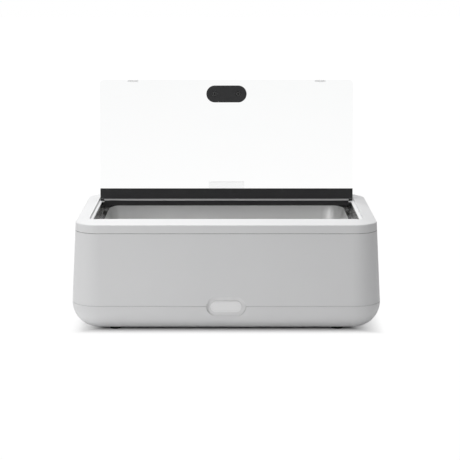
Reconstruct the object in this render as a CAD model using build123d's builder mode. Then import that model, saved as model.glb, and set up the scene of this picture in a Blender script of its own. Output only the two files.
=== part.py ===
from build123d import *
from math import atan, cos, degrees, radians, sin
import os

os.makedirs("parts", exist_ok=True)

# Driving sizes, in millimetres. The floor is z = 0, the front faces -Y.

# Casing: a drafted box with a rounded underside and a sloping top frame
rim_width = 602
waist_width = 620
waist_depth = 415
waist_corner = 58
casing_bottom = 8
waist_height = 60
frame_seam = 205
rim_height = 222
crest_height = 229.6
under_round = waist_height - casing_bottom - 1
tray_wall = 2
shell_wall = 2.5
frame_wall = 2
seam_chamfer = 0.8
spigot_inset = shell_wall + 0.2
spigot_wall = 1.8

# Opening for a full size gastronorm pan, with the rebate the lid lies in
opening_width = 534
opening_depth = 329
opening_corner = 8
rebate_width = 5.5
rebate_floor = crest_height - 5.2

# Lid: hinge axis, lean of the open flap, sheet and rail
hinge_y = 87
hinge_z = rebate_floor + 3.1
lean = 6.3
lid_width = 541
flap_length = 256
sheet = 3
body_gap = 0.3
seat = rebate_floor + body_gap
leaf = 1.2
barrel_radius = 2.4
rod_radius = 1.5
running_fit = 0.05
rail_start = barrel_radius + body_gap
rail_end = 24
beam_length = 531
beam_height = 10.2
beam_front = hinge_y - 1
beam_depth = 21
lug_y = hinge_y - 2
lug_long = 6

# Pans
pan_flange_width = 530
pan_flange_depth = 325
pan_lip = 12
pan_deep = 65
pan_metal = 0.9
pan_corner = 46
collar_gap = 1
ledge_height = rebate_floor - 18.8
ledge_reach = 8.5
pan_round = 12
pan_draft = 5
well_bottom = 112
well_metal = 1
well_corner = 42
well_round = 14
seal_thick = 1

# Oval badge seat across the lower seam at the front
badge_long = 78
badge_tall = 40
badge_z = waist_height - 1

# Rear control panel, a pocket sunk into the casing
panel_height = 92
panel_width = 204
panel_tall = 60
panel_corner = 6.7
pocket_depth = 22
pocket_wall = 4
panel_floor = 2.4
inlet_x = 66
switch_x = 14
lamp_x = -22
knob_x = -62
knob_radius = 18
knob_tall = 15
shaft_radius = 3
rocker_wide = 21.4
rocker_tall = 24.6
rocker_tip = 8
pivot_radius = 1.2

# Feet
foot_x = 225
foot_y = 138
foot_radius = 13
foot_screw_radius = 2

# Screws under the ledge of the shell, in from the outline of the frame
boss_inset = 7
boss_radius = 3.5

upward = (Align.CENTER, Align.CENTER, Align.MIN)
downward = (Align.CENTER, Align.CENTER, Align.MAX)
draft = (waist_width - rim_width) / 2 / (rim_height - waist_height)
draft_angle = degrees(atan(draft))


def casing_size(z, inset=0):
    """Outline of the drafted casing at height z, brought in by inset."""
    inset += draft * (z - waist_height)
    return waist_width - 2 * inset, waist_depth - 2 * inset, waist_corner - inset


def grow(outline, by):
    """Outline of a rounded rectangle moved out by a distance, or in by a negative one."""
    width, depth, corner = outline
    return width + 2 * by, depth + 2 * by, corner + by


def on_flap(along, off):
    """Point in the YZ plane that lies along the open flap and off its hinge line."""
    back = hinge_y + along * sin(radians(lean)) - off * cos(radians(lean))
    return back, hinge_z + along * cos(radians(lean)) + off * sin(radians(lean))


flap_plane = Plane(origin=(0, hinge_y, hinge_z), x_dir=(1, 0, 0),
                   z_dir=(0, -cos(radians(lean)), sin(radians(lean))))
# Heights over the flap plane: its positive side is the underside of the closed lid
flap_under = hinge_z - seat - leaf
flap_top = flap_under - sheet
rail_under = hinge_z - seat
rail_top = flap_top - 1

pocket_back = waist_depth / 2 - 0.1
pocket_floor = pocket_back - pocket_depth
panel_inner = pocket_floor - panel_floor
tray_floor = casing_bottom + tray_wall
well_underside = well_bottom - well_metal


waist = (waist_width, waist_depth, waist_corner)
# Bottom tray with the rounded underside, spigot, vents and foot holes
with BuildPart() as base_tray:
    with BuildSketch(Plane.XY.offset(casing_bottom)):
        RectangleRounded(*waist)
    extrude(amount=waist_height - casing_bottom)
    chamfer(base_tray.edges().group_by(Axis.Z)[-1], seam_chamfer)
    fillet(base_tray.edges().group_by(Axis.Z)[0], under_round)
    with BuildPart(mode=Mode.PRIVATE) as tray_hollow:
        with BuildSketch(Plane.XY.offset(tray_floor)):
            RectangleRounded(*grow(waist, -tray_wall))
        extrude(amount=waist_height - tray_floor)
        fillet(tray_hollow.edges().group_by(Axis.Z)[0], under_round - tray_wall)
    add(tray_hollow.part, mode=Mode.SUBTRACT)
    spigot_outer = grow(waist, -spigot_inset)
    spigot_inner = grow(spigot_outer, -spigot_wall)
    with BuildSketch(Plane.XY.offset(waist_height - 8)):
        RectangleRounded(*grow(waist, -tray_wall))
        RectangleRounded(*spigot_inner, mode=Mode.SUBTRACT)
    extrude(amount=8)
    with BuildSketch(Plane.XY.offset(waist_height)):
        RectangleRounded(*spigot_outer)
        RectangleRounded(*spigot_inner, mode=Mode.SUBTRACT)
    extrude(amount=10, taper=draft_angle)
    with BuildSketch(Plane.XY.offset(waist_height)):
        with Locations((0, waist_depth / 2)):
            Rectangle(panel_width + 2, 30)
    extrude(amount=20, mode=Mode.SUBTRACT)
    with BuildSketch(Plane.XZ.offset(waist_depth / 2 - 12)):
        with Locations((0, badge_z)):
            SlotOverall(badge_long, badge_tall)
    extrude(amount=20, mode=Mode.SUBTRACT)
    with BuildSketch(Plane.XY):
        with GridLocations(16, 90, 17, 2):
            SlotOverall(44, 3.6, rotation=90)
        with GridLocations(2 * foot_x, 2 * foot_y, 2, 2):
            Circle(foot_screw_radius + 0.6)
    extrude(amount=30, mode=Mode.SUBTRACT)
base_tray.part.label = "base_tray"
export_step(base_tray.part, "parts/base_tray.step")

# Side wall of the casing, one drafted band with a ledge for the frame
with BuildPart() as housing_shell:
    for inset, how in ((0, Mode.ADD), (shell_wall, Mode.SUBTRACT)):
        with BuildSketch(Plane.XY.offset(waist_height)):
            RectangleRounded(*grow(waist, -inset))
        extrude(amount=frame_seam - waist_height, taper=draft_angle, mode=how)
        if how == Mode.ADD:
            chamfer(housing_shell.edges().group_by(Axis.Z)[0], seam_chamfer)
            chamfer(housing_shell.edges().group_by(Axis.Z)[-1], seam_chamfer)
    ledge_outer = casing_size(frame_seam, shell_wall / 2)
    ledge_inner = casing_size(frame_seam, 10)
    with BuildSketch(Plane.XY.offset(frame_seam - shell_wall)):
        RectangleRounded(*ledge_outer)
        RectangleRounded(*ledge_inner, mode=Mode.SUBTRACT)
    extrude(amount=shell_wall)
    with BuildSketch(Plane.XZ.offset(-waist_depth / 2 + 12)):
        with Locations((0, panel_height)):
            RectangleRounded(panel_width + 2 * body_gap, panel_tall + 2 * body_gap, panel_corner + body_gap)
    extrude(amount=-24, mode=Mode.SUBTRACT)
    with BuildSketch(Plane.XZ.offset(waist_depth / 2 - 12)):
        with Locations((0, badge_z)):
            SlotOverall(badge_long, badge_tall)
    extrude(amount=20, mode=Mode.SUBTRACT)
housing_shell.part.label = "housing_shell"
export_step(housing_shell.part, "parts/housing_shell.step")

# Top frame: sloping rim, rebate for the lid and two lugs under the hinge ends
under_rebate = rebate_floor - frame_wall
boss_x = casing_size(frame_seam, boss_inset)[0] / 2
boss_y = casing_size(frame_seam, boss_inset)[1] / 2
frame_screw_spots = [(side * boss_x, y) for side in (-1, 1) for y in (-120, 0, 120)]
frame_screw_spots += [(x, side * boss_y) for side in (-1, 1) for x in (-110, 110)]
opening = (opening_width, opening_depth, opening_corner)
crest = grow(opening, rebate_width)
hollow_inset = 11.5
with BuildPart() as top_frame:
    with BuildSketch(Plane.XY.offset(frame_seam)):
        RectangleRounded(*casing_size(frame_seam))
    extrude(amount=crest_height - frame_seam, taper=draft_angle)
    chamfer(top_frame.edges().group_by(Axis.Z)[0], seam_chamfer)
    crest_inset = (casing_size(crest_height)[0] - crest[0]) / 2
    top_face = top_frame.faces().sort_by(Axis.Z)[-1]
    chamfer(top_face.edges(), crest_inset, crest_height - rim_height, reference=top_face)
    fillet(top_frame.edges().filter_by_position(Axis.Z, rim_height - 0.1, rim_height + 0.1), 2.5)
    with BuildPart(mode=Mode.PRIVATE) as frame_hollow:
        with BuildSketch(Plane.XY.offset(frame_seam)):
            RectangleRounded(*casing_size(frame_seam, frame_wall))
        extrude(amount=under_rebate - frame_seam, taper=draft_angle)
        hollow_top = frame_hollow.faces().sort_by(Axis.Z)[-1]
        hollow_drop = under_rebate - rim_height + frame_wall
        chamfer(hollow_top.edges(), hollow_inset, hollow_drop, reference=hollow_top)
    add(frame_hollow.part, mode=Mode.SUBTRACT)
    with BuildSketch(Plane.XY.offset(rebate_floor)):
        RectangleRounded(*crest)
    extrude(amount=10, mode=Mode.SUBTRACT)
    with BuildSketch(Plane.XY.offset(frame_seam)):
        RectangleRounded(*opening)
    extrude(amount=40, mode=Mode.SUBTRACT)
    with BuildSketch(Plane.XY.offset(under_rebate)):
        for side in (-1, 1):
            with Locations((side * (opening_width / 2 - 1.5), lug_y)):
                RectangleRounded(7, lug_long, 1.5)
    extrude(amount=frame_wall)
    for x, y in frame_screw_spots:
        with Locations((x, y, frame_seam)):
            Cylinder(boss_radius, rim_height - frame_seam - 0.8, align=upward)
top_frame.part.label = "top_frame"
export_step(top_frame.part, "parts/top_frame.step")

# Screws that draw the frame down on the ledge of the shell
with BuildPart() as frame_screws:
    for x, y in frame_screw_spots:
        with Locations((x, y, frame_seam - shell_wall)):
            Cylinder(boss_radius - 0.3, 2.2, align=downward)
frame_screws.part.label = "frame_screws"
export_step(frame_screws.part, "parts/frame_screws.step")

# Seal between the frame and the flange of the water pan
collar = grow(opening, collar_gap)
flange = grow(collar, 9)
with BuildPart() as frame_seal:
    with BuildSketch(Plane.XY.offset(under_rebate - seal_thick)):
        RectangleRounded(*flange)
        RectangleRounded(*grow(collar, 1), mode=Mode.SUBTRACT)
    extrude(amount=seal_thick)
frame_seal.part.label = "frame_seal"
export_step(frame_seal.part, "parts/frame_seal.step")

# Water pan: flange, upright collar, ledge for the food pan and the deep well
flange_top = under_rebate - seal_thick
well = (collar[0] - 2 * ledge_reach, collar[1] - 2 * ledge_reach, well_corner)
with BuildPart() as water_pan:
    with BuildSketch(Plane.XY.offset(flange_top - well_metal)):
        RectangleRounded(*flange)
    extrude(amount=well_metal)
    with BuildSketch(Plane.XY.offset(ledge_height - well_metal)):
        RectangleRounded(*grow(collar, well_metal))
    extrude(amount=flange_top - ledge_height)
    with BuildSketch(Plane.XY.offset(well_underside)):
        RectangleRounded(*grow(well, well_metal))
    extrude(amount=ledge_height - well_bottom)
    fillet(water_pan.edges().group_by(Axis.Z)[0], well_round + well_metal)
    with BuildSketch(Plane.XY.offset(ledge_height)):
        RectangleRounded(*collar)
    extrude(amount=40, mode=Mode.SUBTRACT)
    with BuildPart(mode=Mode.PRIVATE) as well_hollow:
        with BuildSketch(Plane.XY.offset(well_bottom)):
            RectangleRounded(*well)
        extrude(amount=ledge_height - well_bottom)
        fillet(well_hollow.edges().group_by(Axis.Z)[0], well_round)
    add(well_hollow.part, mode=Mode.SUBTRACT)
water_pan.part.label = "water_pan"
export_step(water_pan.part, "parts/water_pan.step")

# Food pan: flat flange and drafted sides, standing on the ledge
flange_height = ledge_height + body_gap
pan_mouth = (pan_flange_width - 2 * pan_lip, pan_flange_depth - 2 * pan_lip, pan_corner)
pan_bottom = flange_height + pan_metal - pan_deep
with BuildPart() as food_pan:
    with BuildSketch(Plane.XY.offset(flange_height)):
        RectangleRounded(pan_flange_width, pan_flange_depth, 18)
    extrude(amount=pan_metal)
    with BuildPart(mode=Mode.PRIVATE) as pan_bowl:
        with BuildSketch(Plane.XY.offset(flange_height)):
            RectangleRounded(*grow(pan_mouth, pan_metal))
        extrude(amount=-(flange_height - pan_bottom), taper=pan_draft)
        fillet(pan_bowl.edges().group_by(Axis.Z)[0], pan_round + pan_metal)
    add(pan_bowl.part)
    with BuildPart(mode=Mode.PRIVATE) as pan_hollow:
        with BuildSketch(Plane.XY.offset(flange_height + pan_metal)):
            RectangleRounded(*pan_mouth)
        extrude(amount=-(pan_deep - pan_metal), taper=pan_draft)
        fillet(pan_hollow.edges().group_by(Axis.Z)[0], pan_round)
    add(pan_hollow.part, mode=Mode.SUBTRACT)
food_pan.part.label = "food_pan"
export_step(food_pan.part, "parts/food_pan.step")

# Posts between the tray and the water pan, one over each foot
with BuildPart() as support_posts:
    with Locations((0, 0, tray_floor)):
        with GridLocations(2 * foot_x, 2 * foot_y, 2, 2):
            Cylinder(6, well_underside - tray_floor, align=upward)
            Cylinder(foot_screw_radius + 0.1, 16, align=upward, mode=Mode.SUBTRACT)
support_posts.part.label = "support_posts"
export_step(support_posts.part, "parts/support_posts.step")

# Rubber feet, each with a sunk screw up into its post
foot_names = {(-1, -1): "foot_front_left", (1, -1): "foot_front_right",
              (-1, 1): "foot_rear_left", (1, 1): "foot_rear_right"}
for (sx, sy), foot_name in foot_names.items():
    with BuildPart() as foot:
        with BuildSketch(Plane.XY):
            with Locations((sx * foot_x, sy * foot_y)):
                Circle(foot_radius - 1.5)
        with BuildSketch(Plane.XY.offset(casing_bottom)):
            with Locations((sx * foot_x, sy * foot_y)):
                Circle(foot_radius)
        loft()
        fillet(foot.edges().group_by(Axis.Z)[0], 1.2)
        with Locations((sx * foot_x, sy * foot_y, 0)):
            Cylinder(5.5, 5, align=upward, mode=Mode.SUBTRACT)
            Cylinder(foot_screw_radius + 0.6, 20, align=upward, mode=Mode.SUBTRACT)
    foot.part.label = foot_name
    export_step(foot.part, f"parts/{foot_name}.step")

with BuildPart() as foot_screws:
    with Locations((0, 0, 1.6)):
        with GridLocations(2 * foot_x, 2 * foot_y, 2, 2):
            Cylinder(4.6, 3.4, align=upward)
            Cylinder(foot_screw_radius, 20, align=upward)
            Box(6, 1.2, 1.4, align=upward, mode=Mode.SUBTRACT)
foot_screws.part.label = "foot_screws"
export_step(foot_screws.part, "parts/foot_screws.step")

# Oval badge seat on the front with a plain raised oval, no marking
badge_face = waist_depth / 2 - 4.6
oval_long = 62
oval_tall = 22.5
with BuildPart() as badge_plate:
    with BuildSketch(Plane.XZ.offset(badge_face - 4)):
        with Locations((0, badge_z)):
            SlotOverall(badge_long - 2 * body_gap, badge_tall - 2 * body_gap)
    extrude(amount=4)
    with BuildSketch(Plane.XZ.offset(badge_face)):
        with Locations((0, badge_z)):
            SlotOverall(badge_long - 2 * body_gap, badge_tall - 2 * body_gap)
            SlotOverall(badge_long - 4, badge_tall - 4, mode=Mode.SUBTRACT)
    extrude(amount=1)
    with BuildSketch(Plane.XZ.offset(badge_face)):
        with Locations((0, badge_z)):
            SlotOverall(oval_long, oval_tall)
    extrude(amount=1.8)
    fillet(badge_plate.faces().sort_by(Axis.Y)[0].edges(), 0.6)
    with BuildSketch(Plane.XZ.offset(badge_face + 1.4)):
        with Locations((0, badge_z)):
            SlotOverall(oval_long - 5, oval_tall - 5)
            SlotOverall(oval_long - 6.6, oval_tall - 6.6, mode=Mode.SUBTRACT)
    extrude(amount=2, mode=Mode.SUBTRACT)
badge_plate.part.label = "badge_plate"
export_step(badge_plate.part, "parts/badge_plate.step")

# Heating set under the water pan: plate, tube, straps, cut-out and shield
with BuildPart() as heater_plate:
    with BuildSketch(Plane.XY.offset(well_underside - 3)):
        RectangleRounded(330, 160, 12)
    extrude(amount=3)
heater_plate.part.label = "heater_plate"
export_step(heater_plate.part, "parts/heater_plate.step")

tube_radius = 3.5
tube_z = well_underside - 3 - tube_radius
with BuildPart() as heater_tube:
    with BuildLine(Plane.XY.offset(tube_z)) as tube_run:
        FilletPolyline((-155, 54), (130, 54), (130, 18), (-110, 18), (-110, -18), (130, -18), (130, -54),
                       (-155, -54), radius=16)
    with BuildSketch(Plane(origin=(-155, 54, tube_z), z_dir=(1, 0, 0))):
        Circle(tube_radius)
    sweep()
heater_tube.part.label = "heater_tube"
export_step(heater_tube.part, "parts/heater_tube.step")

with BuildPart() as heater_straps:
    with Locations((0, 0, tube_z - tube_radius)):
        with GridLocations(80, 0, 3, 1):
            Box(12, 142, 1.5, align=downward)
        with GridLocations(80, 136, 3, 2):
            Box(12, 6, 2 * tube_radius, align=upward)
heater_straps.part.label = "heater_straps"
export_step(heater_straps.part, "parts/heater_straps.step")

with BuildPart() as thermal_cutout:
    with Locations((-40, 0, well_underside - 3)):
        Cylinder(8, 5, align=downward)
        Box(9, 22, 1, align=downward)
    with Locations((-44, 0, well_underside - 8), (-36, 0, well_underside - 8)):
        Box(0.8, 4.8, 5, align=downward)
thermal_cutout.part.label = "thermal_cutout"
export_step(thermal_cutout.part, "parts/thermal_cutout.step")

shield_z = 84
with BuildPart() as heat_shield:
    with BuildSketch(Plane.XY.offset(shield_z)):
        RectangleRounded(370, 200, 10)
    extrude(amount=9)
    with BuildSketch(Plane.XY.offset(shield_z + 0.8)):
        RectangleRounded(368.4, 198.4, 9.2)
    extrude(amount=9, mode=Mode.SUBTRACT)
    with Locations((0, 0, tray_floor)):
        with GridLocations(320, 150, 2, 2):
            Cylinder(4, shield_z - tray_floor, align=upward)
heat_shield.part.label = "heat_shield"
export_step(heat_shield.part, "parts/heat_shield.step")

with BuildPart() as terminal_block:
    with Locations((120, 125, tray_floor)):
        Box(44, 20, 6, align=upward)
        Box(44, 10, 15, align=upward)
        with GridLocations(14, 0, 3, 1):
            Cylinder(2.6, 20, align=upward, mode=Mode.SUBTRACT)
            Box(9, 10, 3, align=upward)
terminal_block.part.label = "terminal_block"
export_step(terminal_block.part, "parts/terminal_block.step")


# Pocket at the rear that carries the inlet, the switch, the lamp and the knob
with BuildPart() as control_panel:
    with BuildSketch(Plane.XZ.offset(-panel_inner)):
        with Locations((0, panel_height)):
            RectangleRounded(panel_width, panel_tall, panel_corner)
    extrude(amount=-(pocket_back - panel_inner))
    with BuildSketch(Plane.XZ.offset(-pocket_floor)):
        with Locations((0, panel_height)):
            RectangleRounded(panel_width - 2 * pocket_wall, panel_tall - 2 * pocket_wall, panel_corner - 2.7)
    extrude(amount=-pocket_depth, mode=Mode.SUBTRACT)
    fillet(control_panel.faces().sort_by(Axis.Y)[-1].edges(), 0.8)
    with BuildSketch(Plane.XZ.offset(-panel_inner + 5)):
        with Locations((inlet_x, panel_height)):
            Rectangle(27.6, 19.6)
        with Locations((switch_x, panel_height)):
            Rectangle(26.6, 30.6)
        with Locations((lamp_x, panel_height)):
            Circle(5.1)
        with Locations((knob_x, panel_height)):
            Circle(5.1)
    extrude(amount=-10, mode=Mode.SUBTRACT)
control_panel.part.label = "control_panel"
export_step(control_panel.part, "parts/control_panel.step")

with BuildPart() as panel_screws:
    with BuildSketch(Plane.XZ.offset(-pocket_floor)):
        with Locations((0, panel_height)):
            with GridLocations(panel_width - 24, panel_tall - 20, 2, 2):
                Circle(3)
    extrude(amount=-1.6)
    fillet(panel_screws.edges().group_by(Axis.Y)[-1], 0.7)
panel_screws.part.label = "panel_screws"
export_step(panel_screws.part, "parts/panel_screws.step")

# Appliance inlet of the three-pin kind, its cavity open to the rear
pin_spots = [(inlet_x - 7, panel_height - 2.2), (inlet_x, panel_height + 2.2), (inlet_x + 7, panel_height - 2.2)]
with BuildPart() as inlet_socket:
    with BuildSketch(Plane.XZ.offset(-pocket_floor)):
        with Locations((inlet_x, panel_height)):
            RectangleRounded(31, 24, 2)
            SlotOverall(50, 12)
    extrude(amount=-2.5)
    with BuildSketch(Plane.XZ.offset(-pocket_floor + 18)):
        with Locations((inlet_x, panel_height)):
            RectangleRounded(27, 19, 2)
    extrude(amount=-19)
    with BuildSketch(Plane.XZ.offset(-pocket_floor - 2.5)) as cavity:
        with Locations((inlet_x, panel_height)):
            Rectangle(24, 15.6)
        chamfer(cavity.vertices().group_by(Axis.Z)[-1], 4)
    extrude(amount=17, mode=Mode.SUBTRACT)
    with BuildSketch(Plane.XZ.offset(-pocket_floor + 14.5)):
        with Locations(*pin_spots):
            Rectangle(2, 4)
    extrude(amount=-11)
    with BuildSketch(Plane.XZ.offset(-pocket_floor + 18)):
        with Locations(*pin_spots):
            Rectangle(0.8, 6.3)
    extrude(amount=8)
inlet_socket.part.label = "inlet_socket"
export_step(inlet_socket.part, "parts/inlet_socket.step")

with BuildPart() as inlet_screws:
    with BuildSketch(Plane.XZ.offset(-pocket_floor - 2.5)):
        with Locations((inlet_x, panel_height)):
            with GridLocations(40, 0, 2, 1):
                Circle(3)
    extrude(amount=-1.5)
    fillet(inlet_screws.edges().group_by(Axis.Y)[-1], 0.7)
inlet_screws.part.label = "inlet_screws"
export_step(inlet_screws.part, "parts/inlet_screws.step")

# Switch frame with the rocker that tips in it
rocker_axis = (pocket_floor - 2, panel_height)
with BuildPart() as switch_body:
    with BuildSketch(Plane.XZ.offset(-pocket_floor)):
        with Locations((switch_x, panel_height)):
            RectangleRounded(30, 34, 2)
    extrude(amount=-2)
    with BuildSketch(Plane.XZ.offset(-pocket_floor + 20)):
        with Locations((switch_x, panel_height)):
            Rectangle(26, 30)
    extrude(amount=-20)
    with BuildSketch(Plane.XZ.offset(-pocket_floor - 2)):
        with Locations((switch_x, panel_height)):
            Rectangle(22, 26)
    extrude(amount=12, mode=Mode.SUBTRACT)
    with BuildSketch(Plane.YZ.offset(switch_x - 12)):
        with Locations(rocker_axis):
            Circle(pivot_radius)
    extrude(amount=24)
    with BuildSketch(Plane.XZ.offset(-pocket_floor + 20)):
        with Locations((switch_x, panel_height)):
            with GridLocations(12, 16, 2, 2):
                Rectangle(0.8, 6.3)
    extrude(amount=8)
switch_body.part.label = "switch_body"
export_step(switch_body.part, "parts/switch_body.step")

with BuildPart() as power_switch:
    with BuildSketch(Plane.YZ.offset(switch_x - rocker_wide / 2)):
        with BuildLine():
            tip = radians(rocker_tip)
            corners = []
            for out, up in ((-5, -rocker_tall / 2 + 4), (3, -rocker_tall / 2), (2.1, 0), (3, rocker_tall / 2),
                            (-5, rocker_tall / 2 - 4)):
                corners.append((rocker_axis[0] + out * cos(tip) - up * sin(tip),
                                rocker_axis[1] + out * sin(tip) + up * cos(tip)))
            Polyline(*corners, close=True)
        make_face()
    extrude(amount=rocker_wide)
    with BuildSketch(Plane.YZ.offset(switch_x - rocker_wide / 2)):
        with Locations(rocker_axis):
            Circle(pivot_radius + running_fit)
    extrude(amount=rocker_wide, mode=Mode.SUBTRACT)
power_switch.part.label = "power_switch"
export_step(power_switch.part, "parts/power_switch.step")

with BuildPart() as pilot_lamp:
    with BuildSketch(Plane.XZ.offset(-pocket_floor)):
        with Locations((lamp_x, panel_height)):
            Circle(6.5)
    extrude(amount=-3)
    fillet(pilot_lamp.edges().group_by(Axis.Y)[-1], 2)
    with BuildSketch(Plane.XZ.offset(-pocket_floor + 16)):
        with Locations((lamp_x, panel_height)):
            Circle(4.8)
    extrude(amount=-16)
pilot_lamp.part.label = "pilot_lamp"
export_step(pilot_lamp.part, "parts/pilot_lamp.step")

# Thermostat behind the pocket floor, its shaft and the knob
with BuildPart() as thermostat_body:
    with BuildSketch(Plane.XZ.offset(-panel_inner + 22)):
        with Locations((knob_x, panel_height)):
            RectangleRounded(36, 32, 3)
    extrude(amount=-22)
    with BuildSketch(Plane.XZ.offset(-panel_inner)):
        with Locations((knob_x, panel_height)):
            Circle(4.9)
    extrude(amount=-panel_floor - 2)
    with BuildSketch(Plane.XZ.offset(-panel_inner + 14)):
        with Locations((knob_x, panel_height)):
            Circle(shaft_radius + running_fit)
    extrude(amount=-30, mode=Mode.SUBTRACT)
thermostat_body.part.label = "thermostat_body"
export_step(thermostat_body.part, "parts/thermostat_body.step")

knob_back = pocket_floor + 2 + body_gap
with BuildPart() as thermostat_shaft:
    with BuildSketch(Plane.XZ.offset(-panel_inner + 13.5)):
        with Locations((knob_x, panel_height)):
            Circle(shaft_radius)
    extrude(amount=-(knob_back + 10 - panel_inner + 13.5))
thermostat_shaft.part.label = "thermostat_shaft"
export_step(thermostat_shaft.part, "parts/thermostat_shaft.step")

with BuildPart() as thermostat_knob:
    with BuildSketch(Plane.XZ.offset(-knob_back)):
        with Locations((knob_x, panel_height)):
            Circle(knob_radius)
    extrude(amount=-4)
    with BuildSketch(Plane.XZ.offset(-knob_back - 4)):
        with Locations((knob_x, panel_height)):
            Circle(knob_radius - 3)
    extrude(amount=-(knob_tall - 4), taper=4)
    fillet(thermostat_knob.faces().sort_by(Axis.Y)[-1].edges(), 1.2)
    with BuildSketch(Plane.XZ.offset(-knob_back - 4.5)):
        with Locations((knob_x, panel_height)):
            with PolarLocations(knob_radius - 2.4, 18):
                Circle(1.4)
    extrude(amount=-knob_tall, mode=Mode.SUBTRACT)
    with BuildSketch(Plane.XZ.offset(-knob_back)):
        with Locations((knob_x, panel_height)):
            Circle(shaft_radius)
    extrude(amount=-10, mode=Mode.SUBTRACT)
thermostat_knob.part.label = "thermostat_knob"
export_step(thermostat_knob.part, "parts/thermostat_knob.step")


# Fixed rear part of the lid: clear sheet behind the hinge
panel_front = hinge_y + 4.5
panel_rear = opening_depth / 2 + 3.5
with BuildPart() as rear_lid_panel:
    with BuildSketch(Plane.XY.offset(seat)):
        with Locations((0, (panel_front + panel_rear) / 2)):
            Rectangle(lid_width, panel_rear - panel_front)
    extrude(amount=sheet)
    fillet(rear_lid_panel.edges().filter_by(Axis.Z).group_by(Axis.Y)[-1], 9)
rear_lid_panel.part.label = "rear_lid_panel"
export_step(rear_lid_panel.part, "parts/rear_lid_panel.step")

# Black beam across the opening under the front edge of the rear sheet
with BuildPart() as rear_lid_rail:
    with BuildSketch(Plane.XY.offset(seat - beam_height)):
        with Locations((0, beam_front + beam_depth / 2)):
            Rectangle(beam_length, beam_depth)
    extrude(amount=beam_height)
    fillet(rear_lid_rail.edges().filter_by(Axis.X).group_by(Axis.Z)[0], 1.2)
    for side in (-1, 1):
        with Locations((side * beam_length / 2, lug_y + lug_long / 2 + 0.5, seat)):
            Box(12, 9, 5, align=(Align.CENTER, Align.MAX, Align.MAX), mode=Mode.SUBTRACT)
rear_lid_rail.part.label = "rear_lid_rail"
export_step(rear_lid_rail.part, "parts/rear_lid_rail.step")

with BuildPart() as rail_screws:
    with Locations((0, panel_front + 7, seat + sheet)):
        with GridLocations(150, 0, 4, 1):
            Cylinder(3.4, 1.3, align=upward)
    fillet(rail_screws.edges().group_by(Axis.Z)[-1], 0.7)
rail_screws.part.label = "rail_screws"
export_step(rail_screws.part, "parts/rail_screws.step")

# Clear stop that the open flap leans on, bent from one strip
stop_off = rail_top - body_gap
stop_rise = 38
stop_thick = 3.5
stop_foot = 22
panel_top = seat + sheet
with BuildPart() as lid_stop:
    with BuildSketch(Plane.YZ.offset(-38)):
        with BuildLine():
            climb = (panel_top - hinge_z - stop_off * sin(radians(lean))) / cos(radians(lean))
            Polyline(on_flap(climb, stop_off), on_flap(stop_rise, stop_off),
                     on_flap(stop_rise, stop_off - stop_thick), on_flap(climb + stop_thick, stop_off - stop_thick),
                     (hinge_y + stop_foot, panel_top + stop_thick), (hinge_y + stop_foot, panel_top), close=True)
        make_face()
    extrude(amount=76)
    fillet(lid_stop.edges().filter_by(Axis.Y, 10).group_by(Axis.Z)[-1], 0.6)
lid_stop.part.label = "lid_stop"
export_step(lid_stop.part, "parts/lid_stop.step")

# Hinge rod, held at each end in a knuckle that stands on the beam
knuckle_start = 262.4
knuckle_end = lid_width / 2 - 0.3
barrel_long = 2 * knuckle_start - 0.8
with BuildPart() as hinge_rod:
    with BuildSketch(Plane.YZ.offset(-knuckle_end + 1)):
        with Locations((hinge_y, hinge_z)):
            Circle(rod_radius)
    extrude(amount=2 * knuckle_end - 2)
hinge_rod.part.label = "hinge_rod"
export_step(hinge_rod.part, "parts/hinge_rod.step")

for side, cap_name in ((-1, "hinge_cap_left"), (1, "hinge_cap_right")):
    with BuildPart() as hinge_cap:
        with BuildSketch(Plane.YZ.offset(side * knuckle_start)):
            with Locations((hinge_y, hinge_z)):
                Circle(barrel_radius)
        extrude(amount=side * (knuckle_end - knuckle_start))
        with Locations((side * knuckle_start, hinge_y, seat)):
            Box(3, 4.2, hinge_z - seat, align=(Align.MIN if side > 0 else Align.MAX, Align.MIN, Align.MIN))
        with BuildSketch(Plane.YZ.offset(side * knuckle_start)):
            with Locations((hinge_y, hinge_z)):
                Circle(rod_radius)
        extrude(amount=side * (knuckle_end - 1 - knuckle_start), mode=Mode.SUBTRACT)
    hinge_cap.part.label = cap_name
    export_step(hinge_cap.part, f"parts/{cap_name}.step")


# Flap of the lid, drawn open on its own tilted plane
with BuildPart() as lid_panel:
    with BuildSketch(flap_plane.offset(flap_top)):
        with Locations((0, (rail_start + 2 + flap_length) / 2)):
            Rectangle(lid_width, flap_length - rail_start - 2)
    extrude(amount=sheet)
    fillet(lid_panel.edges().filter_by(Axis((0, 0, 0), flap_plane.z_dir)).group_by(Axis.Z)[-1], 9)
lid_panel.part.label = "lid_panel"
export_step(lid_panel.part, "parts/lid_panel.step")

# Black rail folded round the hinge edge of the flap, seated on the barrel by a thin web
web = 0.9
with BuildPart() as lid_rail:
    with BuildSketch(flap_plane.offset(rail_top)):
        with Locations((0, (rail_start + rail_end) / 2)):
            Rectangle(lid_width, rail_end - rail_start)
    extrude(amount=rail_under - rail_top)
    with BuildSketch(flap_plane.offset(flap_top)):
        with Locations((0, (rail_start + 2 + rail_end + 5) / 2)):
            Rectangle(lid_width, rail_end + 5 - rail_start - 2)
    extrude(amount=sheet, mode=Mode.SUBTRACT)
    with BuildSketch(Plane.YZ.offset(-barrel_long / 2)):
        with BuildLine():
            Polyline(on_flap(0, -web), on_flap(rail_start + 0.5, -web), on_flap(rail_start + 0.5, web),
                     on_flap(0, web), close=True)
        make_face()
    extrude(amount=barrel_long)
    with BuildSketch(Plane.YZ.offset(-barrel_long / 2)):
        with Locations((hinge_y, hinge_z)):
            Circle(barrel_radius + running_fit)
    extrude(amount=barrel_long, mode=Mode.SUBTRACT)
lid_rail.part.label = "lid_rail"
export_step(lid_rail.part, "parts/lid_rail.step")

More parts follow.
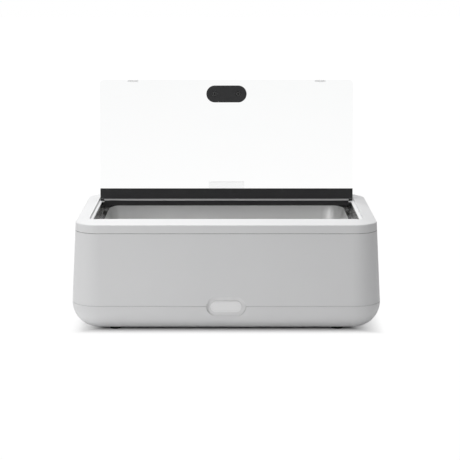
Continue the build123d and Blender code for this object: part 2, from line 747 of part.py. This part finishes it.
# Bright tube along the hinge edge that turns on the rod
with BuildPart() as lid_barrel:
    with BuildSketch(Plane.YZ.offset(-barrel_long / 2)):
        with Locations((hinge_y, hinge_z)):
            Circle(barrel_radius)
            Circle(rod_radius + running_fit, mode=Mode.SUBTRACT)
    extrude(amount=barrel_long)
lid_barrel.part.label = "lid_barrel"
export_step(lid_barrel.part, "parts/lid_barrel.step")

# Clear pads the free edge of the closed flap rests on
with BuildPart() as lid_pads:
    with BuildSketch(flap_plane.offset(flap_under)):
        with Locations((-200, flap_length - 2.7), (200, flap_length - 2.7)):
            RectangleRounded(24, 4.4, 1.5)
    extrude(amount=leaf)
lid_pads.part.label = "lid_pads"
export_step(lid_pads.part, "parts/lid_pads.step")

# Oval backing plate of the handle, under the flap
handle_along = flap_length - 30
handle_wide = 86
handle_deep = 36
screw_span = 50.5
with BuildPart() as handle_backing:
    with BuildSketch(flap_plane.offset(flap_under)):
        with Locations((0, handle_along)):
            SlotOverall(handle_wide, handle_deep)
    extrude(amount=3)
    fillet(handle_backing.faces().sort_by(Axis.Y)[0].edges(), 1)
    with BuildSketch(flap_plane.offset(flap_under)):
        with Locations((0, handle_along)):
            with GridLocations(screw_span, 0, 2, 1):
                Circle(5.4)
    extrude(amount=10, mode=Mode.SUBTRACT)
handle_backing.part.label = "handle_backing"
export_step(handle_backing.part, "parts/handle_backing.step")

with BuildPart() as handle_screws:
    with BuildSketch(flap_plane.offset(flap_under)):
        with Locations((0, handle_along)):
            with GridLocations(screw_span, 0, 2, 1):
                Circle(4.9)
    extrude(amount=2)
    fillet(handle_screws.edges().group_by(Axis.Y)[0], 0.8)
handle_screws.part.label = "handle_screws"
export_step(handle_screws.part, "parts/handle_screws.step")

# Waisted pull on the outer face of the flap
with BuildPart() as handle_grip:
    for off, wide, deep in ((0, handle_wide, handle_deep), (-3, handle_wide, handle_deep),
                            (-15, handle_wide - 18, 15), (-28, handle_wide - 6, 25)):
        with BuildSketch(flap_plane.offset(flap_top + off)):
            with Locations((0, handle_along)):
                SlotOverall(wide, deep)
        if off == -3:
            loft()
            with BuildSketch(flap_plane.offset(flap_top + off)):
                with Locations((0, handle_along)):
                    SlotOverall(wide - 2, deep - 2)
    loft()
    fillet(handle_grip.faces().sort_by(Axis.Y)[-1].edges(), 3)
handle_grip.part.label = "handle_grip"
export_step(handle_grip.part, "parts/handle_grip.step")
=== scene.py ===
import math

import bmesh
import bpy
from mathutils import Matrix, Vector


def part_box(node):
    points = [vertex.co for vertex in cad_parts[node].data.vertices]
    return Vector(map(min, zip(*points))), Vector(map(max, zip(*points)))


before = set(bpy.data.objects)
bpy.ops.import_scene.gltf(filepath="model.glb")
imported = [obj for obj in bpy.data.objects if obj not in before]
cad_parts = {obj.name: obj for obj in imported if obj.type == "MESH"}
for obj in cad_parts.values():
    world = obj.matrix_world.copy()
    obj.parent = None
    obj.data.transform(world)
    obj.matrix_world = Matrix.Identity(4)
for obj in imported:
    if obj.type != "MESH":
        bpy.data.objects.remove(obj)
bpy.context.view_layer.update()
scene = bpy.context.scene


# Casing: bottom tray, side wall and sloping top frame, moulded in off-white
# plastic with a fine spark-eroded grain. The three mouldings meet at two seams
# and are screwed together from inside.


class Tone:
    """A number or colour that varies over a surface; its sums and products add Math nodes."""

    def __init__(self, tree, socket):
        self.tree = tree
        self.socket = socket

    def math(self, operation, *others):
        return self.tree.node("Math", {"operation": operation}, [self, *others])

    def __add__(self, other):
        return self.math("ADD", other)

    __radd__ = __add__

    def __mul__(self, other):
        return self.math("MULTIPLY", other)

    __rmul__ = __mul__

    def __sub__(self, other):
        return self.math("SUBTRACT", other)

    def __rsub__(self, other):
        return self.tree.node("Math", {"operation": "SUBTRACT"}, [other, self])

    def over(self, edge):
        return self.math("GREATER_THAN", edge)

    def under(self, edge):
        return self.math("LESS_THAN", edge)

    def size(self):
        return self.math("ABSOLUTE")

    def span(self, low, high):
        """0 at low, 1 at high, held at both ends."""
        return self.tree.node("MapRange", {"clamp": True}, {"Value": self, "From Min": low, "From Max": high})


class Tree:
    """A node tree that is written with one call a node."""

    def __init__(self, nodes_and_links):
        self.tree = nodes_and_links

    def feed(self, socket, value):
        """Gives a socket its link, from a tone, or its constant."""
        if isinstance(value, Tone):
            self.tree.links.new(value.socket, socket)
        else:
            socket.default_value = value

    def node(self, kind, settings=None, inputs=None, out=0):
        """Any node: its settings first, then the values or links of its sockets."""
        made = self.tree.nodes.new("ShaderNode" + kind)
        for name, value in (settings or {}).items():
            setattr(made, name, value)
        pairs = inputs.items() if isinstance(inputs, dict) else enumerate(inputs or [])
        for key, value in pairs:
            self.feed(made.inputs[key], value)
        return Tone(self, made.outputs[out])

    def light_path(self, kind):
        """1 for rays of one kind, 0 for the others."""
        return self.node("LightPath", out=f"Is {kind} Ray")


class Finish(Tree):
    """A material built round one Principled shader."""

    def __init__(self, name, **constants):
        self.material = bpy.data.materials.new(name)
        self.material.use_nodes = True
        super().__init__(self.material.node_tree)
        self.shader = self.tree.nodes["Principled BSDF"]
        self.set(constants)

    def set(self, values):
        """Writes constants and links on the Principled shader, named with underscores."""
        for name, value in values.items():
            self.feed(self.shader.inputs[name.replace("_", " ")], value)

    def place(self, stretch=(1, 1, 1), centre=(0, 0, 0)):
        """Object coordinates, in metres, centred on a point and stretched."""
        spot = self.node("TexCoord", out="Object")
        shift = [-c * s for c, s in zip(centre, stretch)]
        return self.node("Mapping", {"vector_type": "POINT"}, {"Vector": spot, "Location": shift, "Scale": stretch})

    def axes(self, centre=(0, 0, 0)):
        """The three object coordinates as separate tones."""
        split = self.node("SeparateXYZ", None, [self.place(centre=centre)])
        return [Tone(self, socket) for socket in split.socket.node.outputs]

    def noise(self, scale, detail=3, stretch=(1, 1, 1)):
        return self.node("TexNoise", None, {"Vector": self.place(stretch), "Scale": scale, "Detail": detail})

    def blend(self, amount, first, second):
        """Mixes two colours by a tone."""
        mixer = self.node("Mix", {"data_type": "RGBA"}).socket.node
        first_colour, second_colour, mixed_colour = mixer.inputs[6], mixer.inputs[7], mixer.outputs[2]
        self.feed(mixer.inputs["Factor"], amount)
        self.feed(first_colour, first)
        self.feed(second_colour, second)
        return Tone(self, mixed_colour)

    def emboss(self, height, depth):
        """A bump from a tone, depth in metres."""
        return self.node("Bump", None, {"Height": height, "Distance": depth, "Strength": 1.0})

    def wear(self, *names):
        """Puts this finish on CAD nodes."""
        for name in names:
            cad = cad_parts[name]
            cad.data.materials.clear()
            cad.data.materials.append(self.material)


white_shaded = (0.755, 0.757, 0.76, 1)
white_clean = (0.79, 0.791, 0.792, 1)
white_scuffed = (0.66, 0.66, 0.66, 1)
seam_shadow = (0.12, 0.12, 0.12, 1)
seam_half = 0.00035
lower_seam_strength = 0.35

casing = Finish("moulded casing white", IOR=1.5, Specular_IOR_Level=0.3)
erosion = casing.noise(2600, 2)
drift = casing.noise(7, 2)
scuffs = casing.noise(34, 4, (1, 1, 6)).span(0.64, 0.78)
_, _, casing_z = casing.axes()
upper_seam = (casing_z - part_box("top_frame")[0][2]).size().under(seam_half)
lower_seam = (casing_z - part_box("housing_shell")[0][2]).size().under(seam_half)
moulded = casing.blend(drift, white_shaded, white_clean)
scuffed = casing.blend(scuffs * 0.12, moulded, white_scuffed)
casing.set({
    "Base_Color": casing.blend(upper_seam + lower_seam * lower_seam_strength, scuffed, seam_shadow),
    "Roughness": 0.42 + drift * 0.1 - scuffs * 0.06,
    "Normal": casing.emboss(erosion, 0.00003),
})
casing.wear("base_tray", "housing_shell", "top_frame")


# Badge seat: a white moulded oval set in the front seam, with a plain raised
# oval in it. The raised face is smoother than the casing and left bare.
def middle(name):
    """Middle of a CAD node's box."""
    low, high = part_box(name)
    return [(a + b) / 2 for a, b in zip(low, high)]


oval_long = 0.062
oval_tall = 0.0225
oval_margin = 0.00005
seat_white_low = (0.8, 0.8, 0.802, 1)
seat_white_high = (0.84, 0.84, 0.84, 1)
oval_white = (0.93, 0.93, 0.93, 1)

badge = Finish("badge satin white", IOR=1.5)
badge_cloud = badge.noise(120, 2)
badge_x, _, badge_z = badge.axes((0, 0, middle("badge_plate")[2]))
past_straight = (badge_x.size() - (oval_long - oval_tall) / 2).math("MAXIMUM", 0.0)
from_oval_core = (past_straight * past_straight + badge_z * badge_z).math("SQRT")
raised_oval = from_oval_core.under(oval_tall / 2 + oval_margin)
badge_seat = badge.blend(badge_cloud, seat_white_low, seat_white_high)
badge.set({
    "Base_Color": badge.blend(raised_oval, badge_seat, oval_white),
    "Roughness": 0.3 + badge_cloud * 0.08,
    "Normal": badge.emboss(badge.noise(1900, 2), 0.000012),
})
badge.wear("badge_plate")


# Feet and posts: four black rubber buttons, each held by a plated screw sunk
# in it. The posts over them are turned steel and carry the water pan. All
# small steel parts have the same plating.
rubber_black = (0.018, 0.018, 0.018, 1)
rubber_bloomed = (0.04, 0.039, 0.038, 1)
plating_dark = (0.5, 0.5, 0.49, 1)
plating_bright = (0.64, 0.64, 0.63, 1)

rubber = Finish("foot rubber black", IOR=1.45, Specular_IOR_Level=0.3)
bloom = rubber.noise(90)
rubber.set({
    "Base_Color": rubber.blend(bloom, rubber_black, rubber_bloomed),
    "Roughness": 0.66 + bloom * 0.16,
    "Normal": rubber.emboss(rubber.noise(1500), 0.00006),
})
rubber.wear("foot_front_left", "foot_front_right", "foot_rear_left", "foot_rear_right")

plated = Finish("plated steel", Metallic=1.0)
plated_cloud = plated.noise(140)
plated.set({
    "Base_Color": plated.blend(plated_cloud, plating_dark, plating_bright),
    "Roughness": 0.3 + plated_cloud * 0.16,
    "Normal": plated.emboss(plated.noise(900, 2), 0.00001),
})
plated.wear("support_posts", "foot_screws", "frame_screws", "heat_shield", "heater_straps", "hinge_rod",
            "thermostat_shaft", "panel_screws", "inlet_screws", "rail_screws")


# Heating set under the well: an aluminium plate with a steel-sheathed tube
# strapped to it. The plate is rolled and the sheath has gone brown with heat.
aluminium_dark = (0.66, 0.66, 0.67, 1)
aluminium_bright = (0.76, 0.76, 0.77, 1)
sheath_dark = (0.2, 0.19, 0.17, 1)
sheath_brown = (0.3, 0.27, 0.22, 1)

plate = Finish("mill aluminium", Metallic=1.0)
rolling = plate.noise(9, 3, (2, 120, 2))
plate.set({
    "Base_Color": plate.blend(rolling, aluminium_dark, aluminium_bright),
    "Roughness": 0.34 + rolling * 0.14,
    "Normal": plate.emboss(rolling, 0.00003),
})
plate.wear("heater_plate")

sheath = Finish("heat darkened sheath", Metallic=0.9)
heat_tint = sheath.noise(22, 4)
sheath.set({
    "Base_Color": sheath.blend(heat_tint, sheath_dark, sheath_brown),
    "Roughness": 0.44 + heat_tint * 0.18,
    "Normal": sheath.emboss(sheath.noise(600), 0.00003),
})
sheath.wear("heater_tube")


# Water pan: stainless sheet, drawn deep, hung under the frame by its flange.
# The collar and the ledge are bright; the well is dulled by boiled water.
well_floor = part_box("water_pan")[0][2] + 0.001
scale_top = 0.2
collar_start = 0.19
shade_start, shade_end = 0.04, 0.12
steel_bright = (0.72, 0.72, 0.715, 1)
steel_scaled = (0.55, 0.54, 0.52, 1)
collar_shaded = (0.12, 0.12, 0.12, 1)

well = Finish("water pan steel", Metallic=1.0)
drawing = well.noise(6, 3, (12, 12, 150))
_, well_y, well_z = well.axes()
below_ledge = 1 - well_z.span(well_floor, scale_top)
scale_ring = well.node("TexVoronoi", {"feature": "F1"}, {"Vector": well.place(), "Scale": 70.0}).span(0.1, 0.36)
under_beam = well_z.over(collar_start) * well_y.span(shade_start, shade_end)
scaled = well.blend(below_ledge * 0.35 * scale_ring, steel_bright, steel_scaled)
well.set({
    "Base_Color": well.blend(under_beam, scaled, collar_shaded),
    "Roughness": 0.2 + drawing * 0.12 + below_ledge * 0.12,
    "Normal": well.emboss(drawing, 0.00005),
})
well.wear("water_pan")


# Seal between the frame and the flange of the water pan: a flat ring cut from
# pale silicone and pressed between the two.
silicone_dull = (0.62, 0.62, 0.6, 1)
silicone_pale = (0.72, 0.72, 0.7, 1)

silicone = Finish("pale silicone", IOR=1.42)
silicone_mist = silicone.noise(60)
silicone.set({
    "Base_Color": silicone.blend(silicone_mist, silicone_dull, silicone_pale),
    "Roughness": 0.5 + silicone_mist * 0.15,
    "Normal": silicone.emboss(silicone.noise(700, 2), 0.00002),
})
silicone.wear("frame_seal")


# Food pan: full size gastronorm pan of stainless steel, loose on the ledge.
# The flange is polished and the drawn sides are satin, with hairlines from
# use. The bottom is dulled, and the flange lies dark under the hinge beam.
pan_low, pan_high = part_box("food_pan")
flange_from = pan_high[2] - 0.0012
bottom_from, bottom_to = pan_low[2] + 0.0032, pan_low[2] + 0.0202
corner_start, corner_end = 0.22, 0.25
satin_dark = (0.72, 0.72, 0.72, 1)
satin_bright = (0.79, 0.79, 0.785, 1)
bottom_dull = (0.5, 0.5, 0.497, 1)
flange_shaded = (0.09, 0.09, 0.09, 1)

pan = Finish("food pan steel", Metallic=1.0)
pan_streak = pan.noise(5, 4, (3, 110, 110))
pan_cloud = pan.noise(16)
hairline = pan.noise(60, 2, (1, 14, 1)).span(0.66, 0.72)
pan_x, pan_y, pan_z = pan.axes()
flange = pan_z.over(flange_from)
rear_corner = flange * pan_y.span(shade_start, shade_end) * pan_x.size().span(corner_start, corner_end)
bottom = 1 - pan_z.span(bottom_from, bottom_to)
satin = pan.blend(pan_cloud, satin_dark, satin_bright)
pan.set({
    "Base_Color": pan.blend(rear_corner, pan.blend(bottom, satin, bottom_dull), flange_shaded),
    "Roughness": 0.3 + pan_streak * 0.1 + pan_cloud * 0.08 + hairline * 0.05 - flange * 0.24 + bottom * 0.1,
    "Normal": pan.emboss((pan_streak + hairline * 0.3) * (1 - flange * 0.85), 0.00006),
})
pan.wear("food_pan")


# Controls at the rear: a black moulded pocket with inlet, rocker, lamp and
# thermostat knob, snapped or screwed into its floor. The knob and the rocker
# are smoother, and the printed marks are plain strokes.
knob_x, _, knob_z = middle("thermostat_knob")
knob_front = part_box("thermostat_knob")[1][1]
pocket_depth = 0.022
pocket_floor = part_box("control_panel")[1][1] - pocket_depth
stroke_half = 0.00035
tick_inner, tick_outer = 0.0192, 0.0216
tick_step = 30.0
dial_end = 151.0
print_grey = (0.6, 0.6, 0.6, 1)
grained_low = (0.02, 0.02, 0.021, 1)
grained_high = (0.034, 0.034, 0.035, 1)

control = Finish("control plastic black", IOR=1.5, Specular_IOR_Level=0.4)
control_cloud = control.noise(40)
dial_x, dial_y, dial_z = control.axes((knob_x, 0, knob_z))
dial_radius = (dial_x * dial_x + dial_z * dial_z).math("SQRT")
dial_turn = control.node("Math", {"operation": "ARCTAN2"}, [dial_x, dial_z]) * math.degrees(1)
off_tick = dial_turn.math("PINGPONG", tick_step / 2) * math.radians(1) * dial_radius
on_floor = dial_y.over(pocket_floor - 0.0009) * dial_y.under(pocket_floor + 0.0016)
on_ring = dial_radius.over(tick_inner) * dial_radius.under(tick_outer)
ticks = off_tick.under(stroke_half) * on_ring * dial_turn.size().under(dial_end) * on_floor
grained = control.blend(control_cloud, grained_low, grained_high)
control.set({
    "Base_Color": control.blend(ticks, grained, print_grey),
    "Roughness": 0.48 + control_cloud * 0.12,
    "Normal": control.emboss(control.noise(2400, 2), 0.00003),
})
control.wear("control_panel", "switch_body", "inlet_socket", "thermostat_body", "terminal_block", "thermal_cutout")

pointer_half = 0.0006
pointer_start, pointer_end = 0.004, 0.0135
pointer_sunk = 0.0027
switch_x, _, switch_z = middle("switch_body")
mark_rise = 0.006
ring_radius = 0.0021
bar_half = 0.0022
smooth_low = (0.014, 0.014, 0.015, 1)
smooth_high = (0.026, 0.026, 0.027, 1)

touched = Finish("touched plastic black", IOR=1.5)
touched_cloud = touched.noise(65)
grip_x, grip_y, grip_z = touched.axes((knob_x, 0, knob_z))
on_knob_face = grip_y.over(knob_front - pointer_sunk)
pointer = grip_x.size().under(pointer_half) * grip_z.over(pointer_start) * grip_z.under(pointer_end) * on_knob_face
rocker_x, _, rocker_z = touched.axes((switch_x, 0, switch_z))
from_ring_middle = (rocker_x * rocker_x + (rocker_z + mark_rise) * (rocker_z + mark_rise)).math("SQRT")
off_ring = (from_ring_middle - ring_radius).size().under(stroke_half)
on_bar = rocker_x.size().under(stroke_half) * (rocker_z - mark_rise).size().under(bar_half)
smooth = touched.blend(touched_cloud, smooth_low, smooth_high)
touched.set({
    "Base_Color": touched.blend(pointer + off_ring + on_bar, smooth, print_grey),
    "Roughness": 0.26 + touched_cloud * 0.14,
    "Normal": touched.emboss(touched.noise(1800, 2), 0.000012),
})
touched.wear("thermostat_knob", "power_switch")

lens_dark = (0.42, 0.02, 0.015, 1)
lens_bright = (0.55, 0.04, 0.02, 1)

lens = Finish("lamp lens red", IOR=1.49)
facets = lens.noise(520, 1)
lens.set({
    "Base_Color": lens.blend(facets, lens_dark, lens_bright),
    "Roughness": 0.12 + facets * 0.1,
    "Normal": lens.emboss(facets, 0.00012),
})
lens.wear("pilot_lamp")


# Hinge rail, beam and end knuckles: satin black plastic extrusions, sawn to
# length, with faint lines along them from the die.
rail_dark = (0.016, 0.016, 0.017, 1)
rail_light = (0.026, 0.026, 0.027, 1)

rail = Finish("rail black", IOR=1.5, Specular_IOR_Level=0.32)
die_line = rail.noise(4, 4, (4, 260, 260))
rail_cloud = rail.noise(24)
rail.set({
    "Base_Color": rail.blend(rail_cloud, rail_dark, rail_light),
    "Roughness": 0.3 + rail_cloud * 0.1 + die_line * 0.08,
    "Normal": rail.emboss(die_line, 0.00003),
})
rail.wear("lid_rail", "rear_lid_rail", "hinge_cap_left", "hinge_cap_right")


# Hinge tube: a steel tube along the edge of the flap, drawn in fine lines, that
# turns on the rod between the two rails. Its pale grey colour is a painted
# sheen that stands in for the highlight along the hinge barrel.
tube_sheen_dark = (0.46, 0.46, 0.46, 1)
tube_sheen_bright = (0.56, 0.56, 0.56, 1)

tube = Finish("hinge tube painted sheen", Metallic=1.0)
tube_line = tube.noise(5, 4, (3, 300, 300))
tube.set({
    "Base_Color": tube.blend(tube_line, tube_sheen_dark, tube_sheen_bright),
    "Roughness": 0.24 + tube_line * 0.14,
    "Normal": tube.emboss(tube_line, 0.00002),
})
tube.wear("lid_barrel")


# Clear lid sheets and stop: cast acrylic with polished edges, wiped often, so
# it has faint hairlines and a little smear that only shows in the gloss. The
# stop is bent from a sawn strip and is a little greyer.
greying_start, greying_end = 0.24, 0.48
clear_low = (0.992, 0.994, 0.993, 1)
clear_high = (0.945, 0.95, 0.949, 1)
strip_grey = (0.9, 0.905, 0.905, 1)
strip_clear = (0.94, 0.945, 0.944, 1)

acrylic = Finish("clear acrylic", IOR=1.49, Transmission_Weight=1.0)
smear = acrylic.noise(8, 4, (1, 1, 3))
_, _, acrylic_z = acrylic.axes()
# The sheets are greyer towards the top, set by height alone.
greying_upward = acrylic_z.span(greying_start, greying_end)
wipe = acrylic.noise(55, 2, (1, 1, 18)).span(0.68, 0.74)
acrylic.set({
    "Base_Color": acrylic.blend(greying_upward * 0.8 + smear * 0.2, clear_low, clear_high),
    "Roughness": 0.012 + smear.span(0.5, 0.8) * 0.02,
    "Normal": acrylic.emboss(wipe, 0.000002),
})
acrylic.wear("lid_panel", "rear_lid_panel")

strip = Finish("clear acrylic stop", IOR=1.49, Transmission_Weight=1.0)
saw_line = strip.noise(30, 3, (1, 1, 20))
strip.set({
    "Base_Color": strip.blend(saw_line, strip_grey, strip_clear),
    "Roughness": 0.03 + saw_line * 0.05,
    "Normal": strip.emboss(saw_line, 0.000004),
})
strip.wear("lid_stop")


# Rest pads near the free edge of the flap: soft clear vinyl, cut from a strip
# and stuck under the sheet, so they hardly show.
vinyl_dull = (0.98, 0.98, 0.98, 1)
vinyl_clear = (0.995, 0.995, 0.995, 1)

vinyl = Finish("clear vinyl pad", IOR=1.44, Transmission_Weight=1.0)
vinyl_mist = vinyl.noise(240, 2)
vinyl.set({
    "Base_Color": vinyl.blend(vinyl_mist, vinyl_dull, vinyl_clear),
    "Roughness": 0.05 + vinyl_mist * 0.06,
    "Normal": vinyl.emboss(vinyl_mist, 0.000004),
})
vinyl.wear("lid_pads")


# Handle: a black moulded pull outside the flap and an oval plate inside it,
# drawn together by two blackened screws with cross recesses.
handle_dark = (0.016, 0.016, 0.017, 1)
handle_light = (0.028, 0.028, 0.029, 1)
screw_black = (0.1, 0.1, 0.1, 1)
recess_painted_shade = (0.012, 0.012, 0.012, 1)
recess_arm_half = 0.0007
recess_reach = 0.0026
recess_depth = 0.0006

handle = Finish("handle plastic black", IOR=1.5, Specular_IOR_Level=0.4)
handle_cloud = handle.noise(70)
handle.set({
    "Base_Color": handle.blend(handle_cloud, handle_dark, handle_light),
    "Roughness": 0.42 + handle_cloud * 0.12,
    "Normal": handle.emboss(handle.noise(2200, 2), 0.00003),
})
handle.wear("handle_backing", "handle_grip")

screw_low, screw_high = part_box("handle_screws")
head_radius = (screw_high[2] - screw_low[2]) / 2
screw_x = screw_high[0] - head_radius

blackened = Finish("blackened screw", Metallic=1.0)
cross_x, _, cross_z = blackened.axes((0, 0, middle("handle_screws")[2]))
aside = (cross_x.size() - screw_x).size()
aloft = cross_z.size()
upright_slot = aside.under(recess_arm_half) * aloft.under(recess_reach)
level_slot = aloft.under(recess_arm_half) * aside.under(recess_reach)
recess = upright_slot.math("MAXIMUM", level_slot)
# The cross recesses are painted darker than the heads: painted shade in the hollows, with a sunk bump.
blackened.set({
    "Base_Color": blackened.blend(recess, screw_black, recess_painted_shade),
    "Roughness": 0.36 + recess * 0.3,
    "Normal": blackened.emboss(recess * -1.0, recess_depth),
})
blackened.wear("handle_screws")


# Table: a flat white sheet that reaches far past the picture. Away from the
# foot of the dish it shows as plain white, and near it it keeps the shadow.
table_reach = 14.0
fade_x = (0.25, 0.32)
fade_y = (0.142, 0.19)
black = (0, 0, 0, 1)
white = (1, 1, 1, 1)
table_white = (0.9, 0.9, 0.9, 1)

build = bmesh.new()
bmesh.ops.create_grid(build, x_segments=1, y_segments=1, size=table_reach)
table_mesh = bpy.data.meshes.new("table")
build.to_mesh(table_mesh)
build.free()

sheet = Finish("white table", Roughness=0.9, Specular_IOR_Level=0.1)
table_x, table_y, _ = sheet.axes()
outside = table_x.size().span(*fade_x).math("MAXIMUM", table_y.size().span(*fade_y))
plain = outside * sheet.light_path("Camera").math("MAXIMUM", sheet.light_path("Transmission"))
sheet.set({
    "Base_Color": sheet.blend(plain, table_white, black),
    "Emission_Color": sheet.blend(plain, black, white),
    "Emission_Strength": 1.0,
})
table_mesh.materials.append(sheet.material)
table = bpy.data.objects.new("table", table_mesh)
scene.collection.objects.link(table)


# Studio: pale walls all round that light the dish a little, look brighter in
# its gloss, and are white to the camera and through the clear sheets.
wall_light = (0.21, 0.21, 0.213, 1)
wall_gloss = (0.6, 0.6, 0.605, 1)

world = bpy.data.worlds.new("studio")
world.use_nodes = True
scene.world = world
walls = Tree(world.node_tree)
lit = walls.node("Background", None, [wall_light])
glossed = walls.node("MixShader", None, [walls.light_path("Glossy"), lit,
                                         walls.node("Background", None, [wall_gloss])])
seen = walls.light_path("Camera").math("MAXIMUM", walls.light_path("Transmission"))
shown = walls.node("MixShader", None, [seen, glossed, walls.node("Background", None, [white])])
walls.feed(world.node_tree.nodes["World Output"].inputs["Surface"], shown)


# Lamps: two square soft boxes, a large one overhead and a smaller one low on
# the left, both turned to the dish.
def soft_lamp(name, place, aim, width, power):
    lamp_data = bpy.data.lights.new(name, "AREA")
    lamp_data.size = width
    lamp_data.energy = power
    lamp = bpy.data.objects.new(name, lamp_data)
    lamp.location = place
    lamp.rotation_euler = (Vector(aim) - Vector(place)).to_track_quat("-Z", "Y").to_euler()
    scene.collection.objects.link(lamp)


soft_lamp("overhead", place=(-0.45, 0.1, 2.4), aim=(0, 0, 0.2), width=1.6, power=51)
soft_lamp("left", place=(-1.5, -1.75, 1.05), aim=(0, 0, 0.15), width=1.0, power=11)


# Camera: a long lens in front of the dish, a little above it and looking
# slightly down, as fitted to the edges of the casing, the opening and the lid.
image_width = 460
focal_pixels = 1571
camera_dip = 0.1784

camera_data = bpy.data.cameras.new("camera")
camera_data.sensor_width = 36
camera_data.lens = focal_pixels / image_width * camera_data.sensor_width
camera_data.clip_end = 50
camera = bpy.data.objects.new("camera", camera_data)
camera.location = (0.0075, -3.246, 0.762)
camera.rotation_euler = (math.pi / 2 - camera_dip, 0, 0)
scene.collection.objects.link(camera)
scene.camera = camera
scene.view_settings.view_transform = "Standard"
